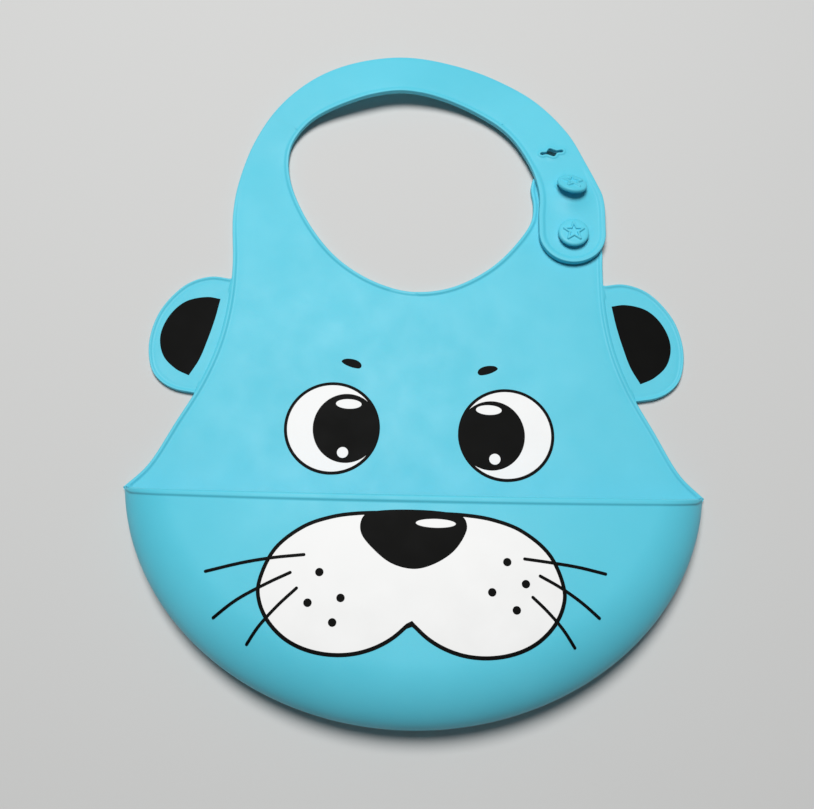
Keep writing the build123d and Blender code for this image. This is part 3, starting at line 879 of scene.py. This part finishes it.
def make_pocket():
    """Closed shell from the inner skin over the lip's bead to the outer skin and under the rim."""
    lip = lip_point(across * POCKET_HALF_WIDTH * math.sin(TIP_TURN) * 0.9995)
    span = np.linalg.norm(rim_line - lip, axis=1)
    near = np.array([0, 0.3, 0.8, 1.2, 1.45, 1.65, 1.85, 2.05, 2.3, 2.6, 3.2, 4.2])
    far = np.sin(np.linspace(0, math.pi / 2, 44))[1:]
    rows, reach = [], []
    shrink = np.minimum(1, span / 7.0)
    for distance in near:
        t = distance * shrink / np.maximum(span, 1e-6)
        rows.append(lip + (rim_line - lip) * t[:, None])
        reach.append(distance)
    start = near[-1] * shrink / np.maximum(span, 1e-6)
    for f in far:
        t = start + (1 - start) * f
        rows.append(lip + (rim_line - lip) * t[:, None])
        reach.append(99.0)
    skin = [np.column_stack([row, pocket_top(row)]) for row in rows]
    skin[-1][:, 2] = rim_height(rim_line[:, 1])
    for f in np.linspace(0, math.pi / 2, 9)[1:]:
        depth = rim_height(rim_line[:, 1])
        place = rim_line - rim_out * (depth * KEEL_TUCK * (1 - math.cos(f)))[:, None]
        skin.append(np.column_stack([place, depth * (1 - math.sin(f))]))
        reach.append(99.0)
    skin = np.array(skin)
    along = np.gradient(skin, axis=1)
    down = np.gradient(skin, axis=0)
    normal = np.cross(along, -down)
    normal /= np.maximum(np.linalg.norm(normal, axis=2), 1e-9)[..., None]
    if normal[len(near) // 2, len(across) // 2, 2] < 0:
        normal = -normal
    normal[:, :3] = normal[:, 3:4]
    normal[:, -3:] = normal[:, -4:-3]
    thickness = POCKET_WALL * np.minimum(1, shrink * 1.2)
    reach = np.array(reach)
    rise = LIP_BEAD * smooth(-reach, -LIP_BEAD_WIDTH - 0.6, -LIP_BEAD_WIDTH + 0.5)
    taper = np.minimum(1, shrink * 1.5)
    outer_skin = skin + normal * (rise[:, None] * taper)[..., None]
    inner_skin = skin - normal * thickness[None, :, None]
    inner_skin[:, :, 2] = np.maximum(inner_skin[:, :, 2], 0.3)
    towards_mouth = skin[0] - skin[2]
    towards_mouth /= np.maximum(np.linalg.norm(towards_mouth, axis=1), 1e-9)[:, None]
    lip_rows = []
    half = (LIP_BEAD * taper + thickness) / 2
    middle = (LIP_BEAD * taper - thickness) / 2
    for f in np.linspace(0, math.pi, 9)[1:-1]:
        lip_rows.append(
            skin[0]
            + normal[0] * (middle + half * math.cos(f))[:, None]
            + towards_mouth * (0.9 * taper * math.sin(f))[:, None]
        )
    section = list(inner_skin[::-1]) + lip_rows[::-1] + list(outer_skin)
    count = len(across)
    vertices = np.vstack(section)
    faces = []
    total = len(section)
    for r in range(total):
        nxt = (r + 1) % total
        for c in range(count - 1):
            faces.append((r * count + c, r * count + c + 1, nxt * count + c + 1, nxt * count + c))
    faces.append(tuple(r * count for r in range(total)))
    faces.append(tuple(r * count + count - 1 for r in range(total))[::-1])
    return make_object("pocket", vertices, faces, BLUE, sharp=50)


def make_back():
    """Flat back of the pocket, carried on from the chest."""
    keel = resample(keel_line, 2.0)[2:-2]
    ease = np.array([1.2, -2.0])
    stretches = [
        (straight(TIPS[1], TIPS[0]), "seam"),
        (np.vstack([TIPS[0], TIPS[0] + ease, keel, TIPS[1] + ease * (-1, 1), TIPS[1]]), "seam"),
    ]
    return sheet_piece("pocket_back", stretches, flat, sheet_top, BLUE, grid=6.0)


# ---- prints -------------------------------------------------------------------------------------
def stroke(points, width):
    """Outline of a drawn line with round ends."""
    path = curve(points, step=0.8)
    tangent = np.gradient(path, axis=0)
    tangent /= np.linalg.norm(tangent, axis=1)[:, None]
    left = np.column_stack([-tangent[:, 1], tangent[:, 0]]) * width / 2
    turns = np.linspace(math.pi / 2, -math.pi / 2, 9)[1:-1]
    ends = []
    for place, ahead in ((path[-1], tangent[-1]), (path[0], -tangent[0])):
        angle = math.atan2(ahead[1], ahead[0])
        ends.append(place + width / 2 * np.column_stack([np.cos(angle + turns), np.sin(angle + turns)]))
    return np.vstack([path + left, ends[0], (path - left)[::-1], ends[1]])


def muzzle_loop(margin):
    """Closed outline of the muzzle, margin inside its drawn line."""
    right = curve(MUZZLE, step=0.9)
    left = curve(mirrored(MUZZLE), step=0.9)[::-1]
    loop = np.vstack([right, left[1:-1]])[::-1]
    moved = loop + ring_normals(loop) * margin
    cusp = int(np.argmin(np.linalg.norm(loop - np.array(MUZZLE[-1]), axis=1)))
    moved[cusp] = loop[cusp] + (0, margin * 1.5)
    moved = np.delete(moved, [cusp - 1, cusp + 1], axis=0) if margin < 0 else moved
    return moved


def make_prints():
    """Every printed area, by the body it lies on."""
    made = {"pocket_body": [], "chest": [], "left_ear": [], "right_ear": []}
    outer_line = muzzle_loop(-MUZZLE_LINE / 2)
    inner_line = muzzle_loop(MUZZLE_LINE / 2)
    pocket = made["pocket_body"]
    pocket.append(print_piece("muzzle_print", [muzzle_loop(0)], pocket_top, WHITE_LAYER, WHITE, grid=3.0))
    pocket.append(
        print_piece("muzzle_line", [outer_line], pocket_top, LINE_LAYER, BLACK, holes=[inner_line])
    )
    nose = curve(NOSE, 0.8, closed=True)[:-1]
    pocket.append(print_piece("nose_print", [nose], pocket_top, SOLID_LAYER, BLACK, grid=3.0))
    shine = ellipse((8.5, -15.2), 7.3, 1.65, -0.5)
    pocket.append(print_piece("nose_shine", [shine], pocket_top, SHINE_LAYER, WHITE, grid=2.0))
    for name, strokes in (("left", LEFT_WHISKERS), ("right", RIGHT_WHISKERS)):
        loops = [stroke(s, WHISKER) + POCKET_PRINT_SHIFT for s in strokes]
        pocket.append(print_piece(f"{name}_whisker_print", loops, pocket_top, WHISKER_LAYER, BLACK))
    for name, dots in (("left", LEFT_DOTS), ("right", RIGHT_DOTS)):
        loops = [circle(c, DOT, 40) + POCKET_PRINT_SHIFT for c in dots]
        pocket.append(print_piece(f"{name}_dot_print", loops, pocket_top, DOT_LAYER, BLACK))
    chest = made["chest"]
    for name, eye in EYES.items():
        white = circle(eye["centre"], EYE - LINE / 2, 200)
        chest.append(print_piece(f"{name}_eye_print", [white], sheet_top, WHITE_LAYER, WHITE, grid=2.0))
        outer, inner = circle(eye["centre"], EYE, 200), circle(eye["centre"], EYE - LINE, 200)
        line = print_piece(f"{name}_eye_line", [outer], sheet_top, LINE_LAYER, BLACK, holes=[inner])
        chest.append(line)
        pupil = ellipse(eye["pupil"], *PUPIL_SIZE, turn=PRINT_TURN, count=160)
        chest.append(print_piece(f"{name}_pupil_print", [pupil], sheet_top, SOLID_LAYER, BLACK, grid=2.0))
        shines = [ellipse(eye["upper"], 5.2, 2.05, PRINT_TURN), circle(eye["lower"], 2.25, 48)]
        chest.append(print_piece(f"{name}_eye_shine", shines, sheet_top, SHINE_LAYER, WHITE, grid=1.5))
        brow = curve(BROW, 0.5, closed=True)[:-1]
        if name == "right":
            brow = brow * (-1, 1) + RIGHT_BROW_SHIFT
        chest.append(print_piece(f"{name}_brow_print", [brow], sheet_top, BROW_LAYER, BLACK))
    for name, flip in (("left", -1), ("right", 1)):
        outer_side = curve(PATCH_OUTER, 0.9)
        inner_side = curve(PATCH_INNER, 0.9)
        patch = np.vstack([outer_side, inner_side[1:-1]]) * (flip, 1) + (PATCH_SHIFT[name], -0.2)
        ear_print = print_piece(f"{name}_ear_print", [patch], sheet_top, EAR_LAYER, BLACK, grid=1.3)
        made[f"{name}_ear"].append(ear_print)
    return made


# ---- assembly -----------------------------------------------------------------------------------
def plan_point(x, y, z=0.0):
    return (x * MM, (y + LIP_Y) * MM, z * MM)


def bend_chest(piece):
    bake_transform(piece)


def bend_ear(piece, side_name):
    top, bottom = RIGHT_ROOT if side_name == "right" else LEFT_ROOT
    run = (bottom - top) / np.linalg.norm(bottom - top)
    out = np.array([-run[1], run[0]])
    if out[0] * (1 if side_name == "right" else -1) < 0:
        out = -out
    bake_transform(piece)


def bend_strap(piece):
    """Bake the piece's placement into its mesh; it is not bent."""
    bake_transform(piece)


def assemble():
    chest = make_chest()
    bend_chest(chest)
    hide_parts("chest_panel", "stud_tab", "neck_bead", "left_edge_bead", "right_edge_bead")
    ears = {}
    for name in ("left", "right"):
        ears[name] = make_ear(name)
        bend_ear(ears[name], name)
        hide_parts(f"{name}_ear_flap", f"{name}_ear_rim")
    arch = make_strap_arch()
    bend_strap(arch)
    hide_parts("strap_arch")
    end = make_strap_end()
    bend_strap(end)
    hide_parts("strap_end", "strap_end_rim")
    pocket = make_pocket()
    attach(pocket, "pocket_body")
    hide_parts("catch_pocket", "lip_bead")
    back = make_back()
    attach(back, "pocket_body")
    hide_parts("back_panel")
    studs = [
        make_stud("lower_button", LOWER_STUD, 5.9, -4, 0),
        make_stud("upper_button", UPPER_STUD, 7.0, -31, -14, lean=1.2),
    ]
    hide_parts("lower_stud")
    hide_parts("upper_stud")
    for stud in studs:
        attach(stud, "chest")
    prints = make_prints()
    for piece in prints["pocket_body"]:
        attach(piece, "pocket_body")
    for piece in prints["chest"]:
        bend_chest(piece)
    for name in ("left", "right"):
        for piece in prints[f"{name}_ear"]:
            bend_ear(piece, name)
    stands_for = {
        "muzzle_print": ["muzzle_white"],
        "muzzle_line": ["muzzle_outline"],
        "nose_print": ["nose"],
        "nose_shine": ["nose_glint"],
    }
    for name in ("left", "right"):
        stands_for[f"{name}_whisker_print"] = [f"{name}_whiskers"]
        stands_for[f"{name}_dot_print"] = [f"{name}_muzzle_dots"]
        stands_for[f"{name}_eye_print"] = [f"{name}_eye_white"]
        stands_for[f"{name}_eye_line"] = [f"{name}_eye_outline"]
        stands_for[f"{name}_pupil_print"] = [f"{name}_pupil"]
        stands_for[f"{name}_eye_shine"] = [f"{name}_eye_glints"]
        stands_for[f"{name}_brow_print"] = [f"{name}_brow"]
        stands_for[f"{name}_ear_print"] = [f"{name}_ear_patch"]
    for pieces in prints.values():
        for piece in pieces:
            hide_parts(*stands_for[piece.name])


# ---- stage, light and camera --------------------------------------------------------------------
def make_stage():
    mesh = bpy.data.meshes.new("floor")
    reach, drop = FLOOR_REACH * MM, FLOOR_DROP * MM
    corners = [(x * reach, y * reach, -drop) for x, y in ((-1, -1), (1, -1), (1, 1), (-1, 1))]
    mesh.from_pydata(corners, [], [(0, 1, 2, 3)])
    floor = bpy.data.objects.new("floor", mesh)
    bpy.context.scene.collection.objects.link(floor)
    material = bpy.data.materials.new("pale_floor")
    material.use_nodes = True
    shader = material.node_tree.nodes["Principled BSDF"]
    shader.inputs["Base Color"].default_value = FLOOR_COLOUR
    shader.inputs["Roughness"].default_value = 0.85
    mesh.materials.append(material)


def area_light(name, place, size, energy):
    """Round soft light aimed at the bib."""
    light = bpy.data.lights.new(name, "AREA")
    light.shape = "DISK"
    light.size = size
    light.energy = energy
    obj = bpy.data.objects.new(name, light)
    bpy.context.scene.collection.objects.link(obj)
    obj.location = place
    direction = -Vector(place)
    obj.rotation_euler = direction.to_track_quat("-Z", "Y").to_euler()


def make_light_and_camera():
    world = bpy.data.worlds.new("studio")
    world.use_nodes = True
    background = world.node_tree.nodes["Background"]
    background.inputs["Color"].default_value = (0.93, 0.96, 1.0, 1)
    background.inputs["Strength"].default_value = 0.085
    bpy.context.scene.world = world
    bpy.context.scene.view_settings.view_transform = "Standard"
    area_light("window", (-0.10, 0.40, 1.27), 0.6, 17.6)
    camera_data = bpy.data.cameras.new("camera")
    camera_data.sensor_width = 36
    camera_data.lens = LENS
    camera = bpy.data.objects.new("camera", camera_data)
    bpy.context.scene.collection.objects.link(camera)
    camera.location = plan_point(-0.7, -77.4, 368.6)
    camera.rotation_euler = (math.radians(17.4), 0, math.radians(1.21))
    bpy.context.scene.camera = camera


make_light_and_camera()
make_stage()
assemble()
